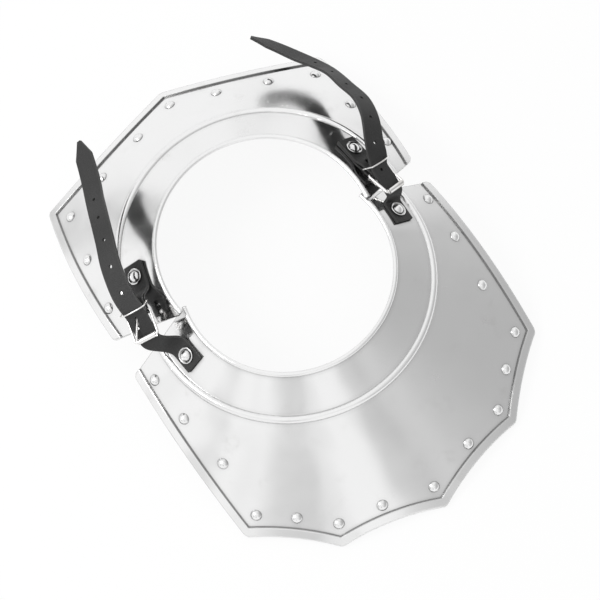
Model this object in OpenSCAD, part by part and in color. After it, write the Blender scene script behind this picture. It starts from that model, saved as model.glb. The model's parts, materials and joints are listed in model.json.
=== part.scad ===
// Gorget: a front and a back plate of polished steel, joined at both shoulders by
// leather straps with roller buckles. It stands on the floor on the point of the
// front plate and on the two corners of the back plate. +Z is up, the front plate
// lies towards -Y, and the origin is on the floor below the middle of the whole
// gorget. All sizes are in millimetres and all angles in degrees.

/* [Sheet] */
// Thickness of the steel sheet
sheet_t = 1.2; // [0.9:0.1:1.6]
// Radius of the wired roll round the neck
roll_r = 1.8; // [1.5:0.1:2.2]
// Radius of the hollow ridge between collar and skirt
ridge_bead_r = 3; // [2.6:0.1:3.4]
// Height of the ridge above the sheet
ridge_rise = 2; // [1.6:0.1:2.4]
// Width of the turned border
border_w = 5.4; // [4:0.2:7]
// Height of the turned border above the sheet
border_rise = 1.2; // [0.8:0.1:1.8]
// Length cut off each side of a corner
corner_cut = 2; // [1:0.25:3]

/* [Front plate] */
// Radius of the neck opening in the front plate
front_neck_r = 74.5; // [73:0.5:76]
// Width of the front collar in plan
front_collar_w = 28.5; // [26.5:0.5:30.5]
// Slope of the front collar
front_collar_slope = 36; // [33:0.5:39]
// Slope of the front skirt
front_skirt_slope = 34.5; // [32:0.5:37]
// Half the width of the front plate
front_half_w = 128.5; // [124:0.5:133]
// How far the collar ends of the front plate reach back
front_tip_y = 17.4; // [15:0.2:18]
// How far the outer ends of the front plate reach back
front_end_y = 10; // [7:0.5:13]
// Distance forward of the front shoulder corners
front_shoulder_y = 122.5; // [118:0.5:127]
// Half the distance between the two corners beside the point
front_flank_x = 76.5; // [72:0.5:81]
// Distance forward of the corners beside the point
front_flank_y = 167.5; // [163:0.5:171]
// Distance forward of the point
front_point_y = 187; // [183:0.5:191]
// Hollow of the edges beside the point
front_point_hollow = 3; // [2:0.25:5]
// Hollow of the edges between flank and shoulder
front_flank_hollow = 2; // [1:0.25:4]
// Bulge of the side edges of the front plate
front_side_bulge = 2.5; // [1:0.25:4]
// How much further back the left end of the front plate was cut than the middle
front_end_skew = 2.6; // [0:0.2:4]
// How much the point of the front plate is lifted by its tilt
front_tilt = 3.4; // [3:0.1:3.8]

/* [Back plate] */
// Radius of the neck opening in the back plate
back_neck_r = 76.5; // [75:0.5:78]
// Width of the back collar in plan
back_collar_w = 31; // [29:0.5:33]
// Slope of the back collar
back_collar_slope = 34.5; // [32:0.5:37]
// Slope of the back skirt
back_skirt_slope = 36.5; // [35:0.5:38]
// Half the width of the back plate at its outer ends
back_end_x = 126.8; // [123:0.5:131]
// How far the outer ends of the back plate reach back from its neck centre
back_end_y = 5.5; // [3:0.5:8]
// How far the collar ends of the back plate reach forward
back_tip_y = 12.4; // [10:0.2:14]
// Half the distance between the back corners
back_corner_x = 119.7; // [115:0.5:124]
// Distance from the neck centre to the back corners
back_corner_y = 127.5; // [123:0.5:132]
// Distance from the neck centre to the point of the back plate
back_point_y = 164; // [160:0.5:168]
// Hollow of the edges beside the back point
back_point_hollow = 3; // [2:0.25:5]
// Bulge of the side edges of the back plate
back_side_bulge = 4; // [2:0.25:5]
// How much further forward the left end of the back plate was cut than the middle
back_end_skew = 1.4; // [0:0.2:3]
// Distance between the neck centres of the two plates
neck_spread = 25.7; // [25:0.1:27]
// Turn of the back plate, which its uneven straps leave it with
back_turn = 3.9; // [3:0.1:4.5]

/* [Rivets] */
// Radius of a rivet's domed head
dome_r = 4.1; // [3.5:0.1:4.6]
// Height of a rivet's domed head
dome_h = 2.4; // [1.8:0.1:3]
// Radius of a rivet's shank
shank_r = 1.95; // [1.6:0.05:2.2]
// Radius of the hammered tail inside the plate
tail_r = 3; // [2.6:0.1:3.4]
// Thickness of the hammered tail
tail_h = 1; // [0.6:0.1:1.4]
// Radius of a strap washer
washer_r = 5.9; // [5.2:0.1:6.6]
// Thickness of a strap washer
washer_t = 0.8; // [0.6:0.1:1.2]

/* [Straps] */
// Width of the straps
strap_w = 15.5; // [14:0.5:17]
// Thickness of the straps
strap_t = 2; // [1.6:0.1:2.4]
// Thickness of the folded leather that holds a buckle
chape_t = 1.6; // [1.2:0.1:2]
// Radius of the adjusting holes
strap_hole_r = 1.4; // [1.1:0.1:1.7]
// Distance between the adjusting holes
strap_hole_pitch = 20; // [18:0.5:21]
// Distance from the roller to the first place for a free hole
strap_hole_start = 17.4; // [15:0.2:19]
// Length of the pointed end
strap_point_l = 13; // [10:0.5:16]
// Width of the blunt tip of the pointed end
strap_point_w = 3; // [2:0.25:5]
// Leather left in front of the strap rivets
strap_heel = 9.5; // [8:0.5:12]
// Leather left behind the rivets of the buckles
chape_heel = 10; // [8:0.5:11]
// Distance from the front ridge to the strap rivets
front_strap_inset = 12.5; // [11.5:0.5:14]
// Angle from the point of the front plate to its strap rivets
front_strap_angle = 86; // [85:0.5:87]
// Distance from the back ridge to the rivets of the buckle leathers
back_strap_inset = 14; // [13:0.5:15.5]
// Angle from the point of the back plate to its strap rivets
back_strap_angle = 72.5; // [71.5:0.5:73.5]

/* [Buckles] */
// Radius of the wire of the buckle
wire_r = 1; // [0.9:0.05:1.2]
// Distance between the two cross bars of the buckle
buckle_l = 18.5; // [18:0.5:20]
// Outer radius of the roller
roller_r = 2; // [1.8:0.1:2.3]
// Radius of the prong
prong_r = 0.8; // [0.7:0.05:0.9]
// Radius of the keeper's wire
keeper_r = 0.55; // [0.45:0.05:0.65]
// Distance from the buckle's inner bar to the keeper
keeper_reach = 6.5; // [6:0.25:7.5]
// Angle by which the rollers are lifted
buckle_pitch = 0.5; // [-2:0.5:3]

/* [Hidden] */

$fn = 96;
bow_fn = 256;
LEFT = -1;
RIGHT = 1;

// Clearances
run_gap = 0.08;
rivet_gap = 0.05;
seat_gap = 0.1;
lay_gap = 0.3;
split_gap = 2.6;

// Where the two buckles stand off their rivets: along the collar, off the collar and
// down its slope. The left strap is slacker than the right one, which lies on the
// collar. Then the angles by which each buckle points outwards and leans outwards.
left_heel = [30.4, 12.5, -2.8];
right_heel = [24.7, 4.6, -5.6];
left_toe = 15;
right_toe = 10.5;
left_bank = 22;
right_bank = 29;
// How far each keeper has slipped along its bar
left_keeper_slip = -0.5;
right_keeper_slip = 1.1;

// Vectors
function unit(v) = v / norm(v);
function square_to(v, t) = unit(v - (v * t) * t);
function turn_z(v, a) = [v.x * cos(a) - v.y * sin(a), v.x * sin(a) + v.y * cos(a), v.z];
function turn_x(v, a) = [v.x, v.y * cos(a) - v.z * sin(a), v.y * sin(a) + v.z * cos(a)];

// A plate is drawn with its point towards -Y and its neck centre at the origin.
// The corners run from the point to the outer end of one side. The last edge bulges,
// which a negative bow says, and the others are hollow. The skew sets the ends apart.
front_ridge_r = front_neck_r + front_collar_w;
back_ridge_r = back_neck_r + back_collar_w;
front_strap_r = front_ridge_r - front_strap_inset;
back_strap_r = back_ridge_r - back_strap_inset;
front_corners = [[0, -front_point_y], [front_flank_x, -front_flank_y],
    [front_half_w, -front_shoulder_y], [front_half_w, front_end_y]];
front_bows = [front_point_hollow, front_flank_hollow, -front_side_bulge];
back_corners = [[0, -back_point_y], [back_corner_x, -back_corner_y], [back_end_x, -back_end_y]];
back_bows = [back_point_hollow, -back_side_bulge];
front = [front_neck_r, front_ridge_r, front_collar_slope, front_skirt_slope,
    front_corners, front_bows, front_tip_y, front_end_skew];
back = [back_neck_r, back_ridge_r, back_collar_slope, back_skirt_slope,
    back_corners, back_bows, back_tip_y, -back_end_skew];

function neck_radius(p) = p[0];
function ridge_radius(p) = p[1];
function collar_slope(p) = p[2];
function skirt_slope(p) = p[3];
function bows(p) = p[5];
function last_corner(p) = len(p[4]) - 1;
function corner(p, i, side) = p[4][i] - [0, i == last_corner(p) ? side * p[7] : 0];
function tip(p, side) = let (y = p[6] - side * p[7])
    [sqrt(pow(neck_radius(p), 2) - y * y), y];
// The wired roll is cut off square
function square_end(p, side) = tip(p, side) * (1 + 2 * roll_r / neck_radius(p));

// Outer surface of the collar and skirt in the plane [radius, height]
function outward(slope) = [sin(slope), cos(slope)];
function roll_centre(p) = [neck_radius(p) + roll_r, -roll_r];
function collar_top(p) = roll_centre(p) - (roll_r - sheet_t) * outward(collar_slope(p));
function collar_z(p, r) = collar_top(p)[1] - (r - collar_top(p)[0]) * tan(collar_slope(p));
function ridge_z(p) = collar_z(p, ridge_radius(p));
function skirt_z(p, r) = ridge_z(p) - (r - ridge_radius(p)) * tan(skirt_slope(p));
function reach(p) = max([for (c = p[4]) norm(c)]) + border_w;
function underside_z(p, r) = skirt_z(p, r) - sheet_t / cos(skirt_slope(p));

// Both places where a corner is cut
function cut_before(p, i, side) = corner(p, i, side)
    + corner_cut * unit(corner(p, i - 1, side) - corner(p, i, side));
function cut_after(p, i, side) = corner(p, i, side) + corner_cut
    * unit((i == last_corner(p) ? square_end(p, side) : corner(p, i + 1, side)) - corner(p, i, side));

// The plates stand on the front point and on the back corners
front_foot = cut_after(front, 0, RIGHT);
side_l = norm(corner(back, 2, RIGHT) - corner(back, 1, RIGHT));
side_out = edge_out(corner(back, 1, RIGHT), corner(back, 2, RIGHT));
back_foot_r = max(norm(cut_before(back, 1, RIGHT)),
    norm(cut_after(back, 1, RIGHT) + cut_bulge(side_l, back_side_bulge) * side_out));
front_h = front_foot.y * sin(front_tilt) - underside_z(front, norm(front_foot)) * cos(front_tilt);
back_h = -underside_z(back, back_foot_r);

// The neck centres stand a little off the middle of the whole gorget
front_neck = [-0.28, 1.06, front_h];
back_neck = [front_neck.x, front_neck.y + neck_spread, back_h];

module place_front() {
    translate(front_neck) rotate([-front_tilt, 0, 0]) children();
}
module place_back() {
    translate(back_neck) rotate([0, 0, 180 - back_turn]) children();
}
function front_point(v) = turn_x(v, -front_tilt) + front_neck;
function front_dir(v) = turn_x(v, -front_tilt);
function back_dir(v) = turn_z(v, 180 - back_turn);
function back_point(v) = back_dir(v) + back_neck;

// Section of the sheet: wired roll, collar, hollow ridge and skirt
module sheet_band(start, end, slope) {
    in = -sheet_t * outward(slope);
    polygon([start, end, end + in, start + in]);
}
module upper_side(p) {
    in = -sheet_t * outward(skirt_slope(p));
    ridge = [ridge_radius(p), ridge_z(p)] + in;
    far = [reach(p), skirt_z(p, reach(p))] + in;
    near = [neck_radius(p), collar_z(p, neck_radius(p)) - sheet_t / cos(collar_slope(p))];
    polygon([near, ridge, far, [far.x, ridge.y + reach(p)], [near.x, ridge.y + reach(p)]]);
}
module plate_section(p) {
    ridge = [ridge_radius(p), ridge_z(p)];
    far = [reach(p), skirt_z(p, reach(p))];
    bead = ridge - (ridge_bead_r - ridge_rise) * outward(skirt_slope(p));
    translate(roll_centre(p)) circle(roll_r);
    difference() {
        union() {
            sheet_band(collar_top(p), ridge, collar_slope(p));
            sheet_band(ridge, far, skirt_slope(p));
            intersection() {
                translate(bead) circle(ridge_bead_r);
                upper_side(p);
            }
        }
        translate(bead) circle(ridge_bead_r - sheet_t);
    }
}
module border_section(p) {
    ridge = [ridge_radius(p), ridge_z(p)];
    far = [reach(p), skirt_z(p, reach(p))];
    out = border_rise * outward(skirt_slope(p));
    sink = -sheet_t / 2 * outward(skirt_slope(p));
    polygon([ridge + sink, far + sink, far + out, ridge + out]);
}

// Outline in plan
function edge_out(a, b) = unit([(b - a).y, -(b - a).x]);
function bow_radius(a, b, s) = (pow(norm(b - a) / 2, 2) + s * s) / (2 * abs(s));
function bow_centre(a, b, s) =
    (a + b) / 2 + sign(s) * (bow_radius(a, b, s) - abs(s)) * edge_out(a, b);

// How far a bulging edge stands out where its corner is cut
function cut_bulge(l, s) = 4 * s * corner_cut * (l - corner_cut) / (l * l);
// An edge from cut to cut, with room for its bulge
function edge_points(p, i, side) =
    let (a = corner(p, i, side), b = corner(p, i + 1, side), out = edge_out(a, b),
        s = max(0, -bows(p)[i]), more = 1.5 * cut_bulge(norm(b - a), s) * out)
    s == 0 ? [cut_after(p, i, side), cut_before(p, i + 1, side)]
    : [cut_after(p, i, side) + more, (a + b) / 2 + 2 * s * out, cut_before(p, i + 1, side) + more];
module half_shape(p, side) {
    last = last_corner(p);
    difference() {
        intersection() {
            polygon(concat([[0, cut_after(p, 0, side).y]],
                [for (i = [0 : last - 1]) each edge_points(p, i, side)],
                [cut_after(p, last, side), square_end(p, side), tip(p, side), [0, tip(p, side).y]]));
            bow(corner(p, last - 1, side), corner(p, last, side), bows(p)[last - 1], 0);
        }
        for (i = [0 : last - 2])
            bow(corner(p, i, side), corner(p, i + 1, side), bows(p)[i], 0);
    }
}
// The circle that an edge is part of
module bow(a, b, s, more) {
    translate(bow_centre(a, b, s)) circle(bow_radius(a, b, s) + more, $fn = bow_fn);
}
module edge_strip(a, b, inner, outer, extra) {
    along = unit(b - a);
    start = a - extra * along;
    end = b + extra * along;
    out = edge_out(a, b);
    polygon([start - inner * out, end - inner * out, end + outer * out, start + outer * out]);
}
module border_strip(a, b, s) {
    if (s > 0) bow(a, b, s, border_w);
    else difference() {
        edge_strip(a, b, 2 * border_w, 2 * abs(s) + 1, border_w);
        bow(a, b, s, -border_w);
    }
}
module border_half(p, side) {
    intersection() {
        half_shape(p, side);
        for (i = [0 : last_corner(p) - 1])
            border_strip(corner(p, i, side), corner(p, i + 1, side), bows(p)[i]);
    }
}
module over_plate(p) {
    translate([0, 0, -reach(p)]) linear_extrude(reach(p) + roll_r) children();
}
module plate(p, holes) {
    difference() {
        union() {
            intersection() {
                rotate_extrude() plate_section(p);
                over_plate(p) {
                    half_shape(p, RIGHT);
                    mirror([1, 0, 0]) half_shape(p, LEFT);
                }
            }
            intersection() {
                rotate_extrude() border_section(p);
                over_plate(p) {
                    border_half(p, RIGHT);
                    mirror([1, 0, 0]) border_half(p, LEFT);
                }
            }
        }
        for (place = holes) on_plate(p, place) rivet_hole();
    }
}

// Rivet places: [edge, share of the edge, distance in from the edge]
front_rivet_rows = [[0, 0.54, 14.5], [0, 0.96, 14], [1, 0.48, 14.5], [1, 0.9, 14],
    [2, 0.34, 15.5], [2, 0.64, 11], [2, 0.9, 10]];
back_rivet_rows = [[0, 0.33, 19], [0, 0.65, 19.5], [0, 0.94, 19.5], [1, 0.47, 10], [1, 0.82, 7.5]];
front_point_inset = 14.5;
back_point_inset = 17.5;

function rivet_place(p, row, side) =
    let (a = corner(p, row[0], side), b = corner(p, row[0] + 1, side),
        spot = a + row[1] * (b - a) - row[2] * edge_out(a, b))
    [side * spot.x, spot.y];
function border_places(p, rows, inset) = concat([corner(p, 0, RIGHT) + [0, inset]],
    [for (row = rows, side = [LEFT, RIGHT]) rivet_place(p, row, side)]);
function collar_place(r, angle, side) = [side * r * sin(angle), -r * cos(angle)];

front_places = border_places(front, front_rivet_rows, front_point_inset);
back_places = border_places(back, back_rivet_rows, back_point_inset);
front_strap_places = [for (side = [LEFT, RIGHT]) collar_place(front_strap_r, front_strap_angle, side)];
back_strap_places = [for (side = [LEFT, RIGHT]) collar_place(back_strap_r, back_strap_angle, side)];

// Stands its children on the outer surface of a plate at a place in plan
module on_plate(p, place) {
    r = norm(place);
    on_skirt = r > ridge_radius(p);
    slope = on_skirt ? skirt_slope(p) : collar_slope(p);
    z = on_skirt ? skirt_z(p, r) : collar_z(p, r);
    translate([place.x, place.y, z]) rotate([0, slope, atan2(place.y, place.x)]) children();
}
module rivet_hole() {
    translate([0, 0, -2 * sheet_t]) cylinder(h = 3 * sheet_t + border_rise, r = shank_r + rivet_gap);
}
// A rivet whose head sits at the given height above the plate
module rivet(grip) {
    cap_r = (dome_r * dome_r + dome_h * dome_h) / (2 * dome_h);
    translate([0, 0, grip]) rotate_extrude() intersection() {
        translate([0, dome_h - cap_r]) circle(cap_r);
        square([dome_r, dome_h]);
    }
    translate([0, 0, -sheet_t - rivet_gap - tail_h / 2])
        cylinder(h = grip + sheet_t + rivet_gap + tail_h, r = shank_r);
    translate([0, 0, -sheet_t - rivet_gap - tail_h]) cylinder(h = tail_h, r = tail_r);
}

module steel() { color("silver") children(); }
module leather() { color([0.16, 0.16, 0.17]) children(); }
module nickel() { color("gainsboro") children(); }

module back_plate() {
    steel() place_back() plate(back, concat(back_places, back_strap_places));
}
module front_plate() {
    steel() place_front() plate(front, concat(front_places, front_strap_places));
}
module back_rivets() {
    steel() place_back() for (place = back_places) on_plate(back, place) rivet(rivet_gap);
}
module front_rivets() {
    steel() place_front() for (place = front_places) on_plate(front, place) rivet(rivet_gap);
}

// Frames of the strap rivets: [place on the collar, along the strap, normal, down the slope]
function collar_frame(p, r, angle, side, toward) =
    let (radial = [side * sin(angle), -cos(angle), 0],
        normal = sin(collar_slope(p)) * radial + [0, 0, cos(collar_slope(p))],
        down = cos(collar_slope(p)) * radial - [0, 0, sin(collar_slope(p))],
        along = toward * [side * cos(angle), sin(angle), 0])
    [r * radial + [0, 0, collar_z(p, r)], along, normal, down];
function front_frame(side) =
    let (f = collar_frame(front, front_strap_r, front_strap_angle, side, 1))
    [front_point(f[0]), front_dir(f[1]), front_dir(f[2]), front_dir(f[3])];
// Seen from behind, the left shoulder of the back plate is its own right one
function back_frame(side) =
    let (f = collar_frame(back, back_strap_r, back_strap_angle, -side, 1))
    [back_point(f[0]), back_dir(f[1]), back_dir(f[2]), back_dir(f[3])];

// Axes of a buckle: towards the roller, along its bars and out of its face
function toe(side) = side == LEFT ? left_toe : right_toe;
function bank(side) = side == LEFT ? left_bank : right_bank;
function buckle_u(side) = [side * sin(toe(side)) * cos(buckle_pitch),
    -cos(toe(side)) * cos(buckle_pitch), sin(buckle_pitch)];
function buckle_level(side) = [cos(toe(side)), side * sin(toe(side)), 0];
function buckle_up(side) = cross(buckle_u(side), buckle_level(side));
function buckle_v(side) = cos(bank(side)) * buckle_level(side)
    - side * sin(bank(side)) * buckle_up(side);
function buckle_n(side) = cross(buckle_u(side), buckle_v(side));
function heel_offset(side) = side == LEFT ? left_heel : right_heel;
function heel(side) = let (f = back_frame(side), o = heel_offset(side))
    f[0] + o[0] * f[1] + o[1] * f[2] + o[2] * f[3];
function in_buckle(side, u, v, n) =
    heel(side) + u * buckle_u(side) + v * buckle_v(side) + n * buckle_n(side);
module at_buckle(side, u = 0, v = 0, n = 0) {
    o = in_buckle(side, u, v, n);
    x = buckle_u(side);
    y = buckle_v(side);
    z = buckle_n(side);
    multmatrix([[x.x, y.x, z.x, o.x], [x.y, y.y, z.y, o.y], [x.z, y.z, z.z, o.z], [0, 0, 0, 1]])
        children();
}

// A band is swept through stations: [middle, direction of the width, direction of its
// face], with half its width as a fourth where it isn't as wide as the strap
function station(p, heading, width) =
    let (w = square_to(width, heading)) [p, w, cross(heading, w)];
module band(stations, thick) {
    n = len(stations);
    half_t = thick / 2;
    points = [for (s = stations) let (half_w = len(s) > 3 ? s[3] : strap_w / 2) each [
        s[0] - half_w * s[1] - half_t * s[2], s[0] + half_w * s[1] - half_t * s[2],
        s[0] + half_w * s[1] + half_t * s[2], s[0] - half_w * s[1] + half_t * s[2]]];
    walls = [for (i = [0 : n - 2], j = [0 : 3])
        let (a = 4 * i + j, b = 4 * i + (j + 1) % 4)
        each [[a, b + 4, b], [a, a + 4, b + 4]]];
    last = 4 * (n - 1);
    caps = [[0, 1, 2], [0, 2, 3], [last, last + 2, last + 1], [last, last + 3, last + 2]];
    polyhedron(points, concat(walls, caps));
}
// Stands its children on a station: along the strap, across it and out of its face
module on_band(s) {
    t = cross(s[1], s[2]);
    w = s[1];
    n = s[2];
    multmatrix([[t.x, w.x, n.x, s[0].x], [t.y, w.y, n.y, s[0].y], [t.z, w.z, n.z, s[0].z],
        [0, 0, 0, 1]]) children();
}

// A bend that leaves one place on one heading and reaches another on its own
function bend_place(a, ha, b, hb, t) = let (pull = norm(b - a))
    (2 * pow(t, 3) - 3 * t * t + 1) * a + (pow(t, 3) - 2 * t * t + t) * pull * ha
    + (3 * t * t - 2 * pow(t, 3)) * b + (pow(t, 3) - t * t) * pull * hb;
function bend(a, ha, wa, b, hb, wb) = [for (k = [0 : bend_steps])
    let (t = k / bend_steps, d = 0.01,
        heading = unit(bend_place(a, ha, b, hb, t + d) - bend_place(a, ha, b, hb, t - d)))
    station(bend_place(a, ha, b, hb, t), heading, (1 - t) * wa + t * wb)];
bend_steps = 10;

// Places beside a strap rivet, along a heading in the collar's surface
function on_collar(f, heading, s, lift) = f[0] + s * heading + lift * f[2];

// Folded leather that holds the buckle, from one end round the inner bar to the other
fold_r = wire_r + lay_gap + chape_t / 2;
fold_step = 15;
nip = keeper_r + lay_gap + chape_t / 2;
chape_rest = 8;
function chape_heading(side) = let (f = back_frame(side)) square_to(heel(side) - f[0], f[2]);
function chape_lift(level) = seat_gap + chape_t / 2 + level * (chape_t + seat_gap);
function chape_path(side) =
    let (f = back_frame(side), h = chape_heading(side), w = cross(f[2], h),
        u = buckle_u(side), v = buckle_v(side), n = buckle_n(side),
        nip_u = -keeper_reach - 2 * keeper_r,
        low = on_collar(f, h, chape_rest, chape_lift(0)),
        high = on_collar(f, h, chape_rest, chape_lift(1)))
    concat(
        [station(on_collar(f, h, -chape_heel, chape_lift(0)), h, w)],
        bend(low, h, w, in_buckle(side, nip_u, 0, -nip), u, v),
        [for (a = [-90 : fold_step : 90])
            station(in_buckle(side, fold_r * cos(a), 0, fold_r * sin(a)),
                -sin(a) * u + cos(a) * n, v)],
        bend(in_buckle(side, nip_u, 0, nip), -u, v, high, -h, w),
        [station(on_collar(f, h, -chape_heel, chape_lift(1)), -h, w)]);

// Way of the strap inside its buckle, under the roller and over the fold
strap_rise = 28;
strap_low = -(roller_r + lay_gap + strap_t / 2) / cos(strap_rise);
strap_high = (fold_r + chape_t / 2 + lay_gap + strap_t / 2) / cos(strap_rise);
strap_climb = atan((strap_high - strap_low) / buckle_l);
function crossing(side, s) =
    in_buckle(side, buckle_l - s * cos(strap_climb), 0, strap_low + s * sin(strap_climb));
function crossing_heading(side) =
    sin(strap_climb) * buckle_n(side) - cos(strap_climb) * buckle_u(side);
crossing_l = norm([buckle_l, strap_high - strap_low]);

// The free end of each strap as the leather lies in the photograph: rows of
// [length, heading away from the middle, climb, lean of its outer edge]
left_lie = [[9, 2, 9, 20], [10, -5, 10, 20], [19, -14, 10, 25], [19, -21, 2, 30],
    [19, -19, -16, 32], [19, -18, -28, 32], [19, -20, -25, 29], [19, -18, -15, 33],
    [19, -17, -4, 38]];
right_lie = [[9, 26, 16, 28], [10, 24, 9, 33], [19, 27, -4, 38], [19, 15, -20, 42],
    [19, -2, -24, 47], [19, -1, -28, 50], [19, -10, -31, 46], [19, -23, -15, 43],
    [19, -29, 2, 47], [19, -37, 13, 53]];
function lie(side) = side == LEFT ? left_lie : right_lie;
function lie_step(side, row) = row[0]
    * [side * sin(row[1]) * cos(row[2]), cos(row[1]) * cos(row[2]), sin(row[2])];
function lie_width(side, row) = -cos(row[3]) * [cos(row[1]), -side * sin(row[1]), 0]
    + side * sin(row[3]) * [0, 0, 1];
function lie_place(side, k) = k == 0 ? crossing(side, crossing_l)
    : lie_place(side, k - 1) + lie_step(side, lie(side)[k - 1]);
function tail_line(side) = concat(
    [crossing(side, split_gap / 2), crossing(side, crossing_l / 2)],
    [for (k = [0 : len(lie(side))]) lie_place(side, k)]);
function tail_widths(side) = concat(
    [for (k = [0 : 2]) -buckle_v(side)],
    [for (row = lie(side)) lie_width(side, row)]);

// A smooth line through a list of places, s counts the places passed
function place(list, i) = i < 0 ? 2 * list[0] - list[1]
    : i >= len(list) ? 2 * list[len(list) - 1] - list[len(list) - 2] : list[i];
function spline(list, s) =
    let (i = min(len(list) - 2, max(0, floor(s))), t = s - i, a = place(list, i - 1),
        b = list[i], c = list[i + 1], d = place(list, i + 2))
    0.5 * (2 * b + (c - a) * t + (2 * a - 5 * b + 4 * c - d) * t * t
        + (3 * b - a - 3 * c + d) * pow(t, 3));
function spline_station(line, widths, s) =
    station(spline(line, s), unit(spline(line, s + 0.01) - spline(line, s - 0.01)),
        spline(widths, s));
function tail_station(side, s) = spline_station(tail_line(side), tail_widths(side), s);
tail_step = 0.25;
measure_step = 0.05;
// Half the width of the strap where so much of its length is left, which ends in a point
function half_width(left) =
    (strap_point_w + (strap_w - strap_point_w) * min(1, left / strap_point_l)) / 2;
function tail_path(side) =
    let (line = tail_line(side), widths = tail_widths(side), last = len(line) - 1,
        last_l = norm(line[last] - line[last - 1]))
    [for (s = [0 : tail_step : last])
        concat(spline_station(line, widths, s), half_width((last - s) * last_l))];
// Pairs of [length walked from the roller, count of places passed]
function tail_walk(side) =
    let (line = tail_line(side), ends = [for (s = [0 : measure_step : len(line) - 1]) spline(line, s)])
    [for (i = 0, d = split_gap / 2; i < len(ends);
        d = d + (i + 1 < len(ends) ? norm(ends[i + 1] - ends[i]) : 0), i = i + 1)
        [d, i * measure_step]];
function free_holes(side) = side == LEFT ? [1 : 5] : [0 : 6];
function root_path(side) =
    let (f = front_frame(side), lift = seat_gap + strap_t / 2, w = cross(f[2], f[1]),
        rest = on_collar(f, f[1], root_rest, lift), end = crossing(side, -split_gap / 2))
    concat(
        [station(on_collar(f, f[1], -strap_heel, lift), f[1], w)],
        [for (s = bend(rest, f[1], w, end, unit(crossing_heading(side) + unit(end - rest)),
            -buckle_v(side))) if (s[0] != end) s],
        [station(end, crossing_heading(side), -buckle_v(side))]);
root_rest = washer_r + lay_gap;

// Hole through the leather for a strap rivet
module at_front_rivet(side) {
    place_front() on_plate(front, collar_place(front_strap_r, front_strap_angle, side)) children();
}
module at_back_rivet(side) {
    place_back() on_plate(back, collar_place(back_strap_r, back_strap_angle, -side)) children();
}
module strap_rivet_hole(grip) {
    cylinder(h = grip + seat_gap, r = shank_r + rivet_gap);
}
chape_grip = 2 * (seat_gap + chape_t) + seat_gap;
strap_grip = seat_gap + strap_t + seat_gap;

// A washer with a raised rim
washer_rim = 1;
module washer() {
    rotate_extrude() polygon([[shank_r + rivet_gap, 0], [washer_r, 0], [washer_r, washer_t],
        [washer_r - washer_rim / 2, washer_t + washer_rim / 4], [washer_r - washer_rim, washer_t],
        [dome_r, washer_t / 2], [shank_r + rivet_gap, washer_t / 2]]);
}
function head_seat(grip) = grip + washer_t / 2 + rivet_gap;

// Slot through the fold, where the prong turns on the bar
slot_w = 5;
module prong_slot(side) {
    depth = 2 * (fold_r + chape_t);
    length = keeper_reach + 2;
    at_buckle(side) {
        translate([-length, -slot_w / 2, -depth / 2])
            cube([length + fold_r + chape_t, slot_w, depth]);
        translate([-length, 0, -depth / 2]) cylinder(h = depth, r = slot_w / 2);
    }
}
module chape(side) {
    leather() difference() {
        band(chape_path(side), chape_t);
        prong_slot(side);
        at_back_rivet(side) strap_rivet_hole(chape_grip);
    }
}
module chape_rivet(side) {
    steel() at_back_rivet(side) rivet(head_seat(chape_grip));
}
module chape_washer(side) {
    steel() at_back_rivet(side) translate([0, 0, chape_grip]) washer();
}
module strap_rivet(side) {
    steel() at_front_rivet(side) rivet(head_seat(strap_grip));
}
module strap_washer(side) {
    steel() at_front_rivet(side) translate([0, 0, strap_grip]) washer();
}

// A cylinder along X, along Y and a bend of the wire in the plane of X and Y
module rod_x(length, r) { rotate([0, 90, 0]) cylinder(h = length, r = r); }
module rod_y(length, r) { translate([0, length / 2, 0]) rotate([90, 0, 0]) cylinder(h = length, r = r); }
module elbow(bend_r, r, turn = 90) {
    rotate_extrude(angle = turn) translate([bend_r, 0]) circle(r);
}

// Buckle frame of bent wire, from the bar in the fold to the bar in the roller
frame_half = strap_w / 2 + 2 * lay_gap + wire_r;
frame_bend = 1.6;
module buckle_frame(side) {
    nickel() at_buckle(side) {
        for (u = [0, buckle_l]) translate([u, 0, 0]) rod_y(2 * (frame_half - frame_bend), wire_r);
        for (v = [-frame_half, frame_half])
            translate([frame_bend, v, 0]) rod_x(buckle_l - 2 * frame_bend, wire_r);
        for (end = [0, 1], edge = [0, 1]) mirror([0, edge, 0])
            translate([end * buckle_l, 0, 0]) mirror([1 - end, 0, 0])
            translate([-frame_bend, frame_half - frame_bend, 0]) elbow(frame_bend, wire_r);
    }
}
roller_l = 2 * (frame_half - frame_bend) - 2 * lay_gap;
module roller(side) {
    nickel() at_buckle(side, buckle_l) difference() {
        rod_y(roller_l, roller_r);
        rod_y(roller_l + 1, wire_r + run_gap);
    }
}

// Prong: an eye on the bar and a straight shank. The left one lies askew on its
// roller, the right one has slipped out of its hole and hangs under the strap.
eye_wall = 0.8;
eye_w = 2.6;
prong_root = wire_r + run_gap + prong_r / 4;
prong_top = roller_r + lay_gap + prong_r;
engaged_lift = atan((prong_top - prong_root) / buckle_l);
prong_skew = 20;
slack_drop = 24;
prong_l = (buckle_l - prong_r) / cos(prong_skew) / cos(engaged_lift);
module tongue(side) {
    engaged = side == LEFT;
    nickel() at_buckle(side) difference() {
        union() {
            rod_y(eye_w, wire_r + run_gap + eye_wall);
            rotate([0, 0, engaged ? side * prong_skew : 0])
                translate([0, 0, engaged ? prong_root : -prong_root])
                rotate([0, engaged ? -engaged_lift : slack_drop, 0]) {
                    rod_x(prong_l, prong_r);
                    translate([prong_l, 0, 0]) sphere(prong_r);
                }
        }
        rod_y(eye_w + 1, wire_r + run_gap);
    }
}

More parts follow.
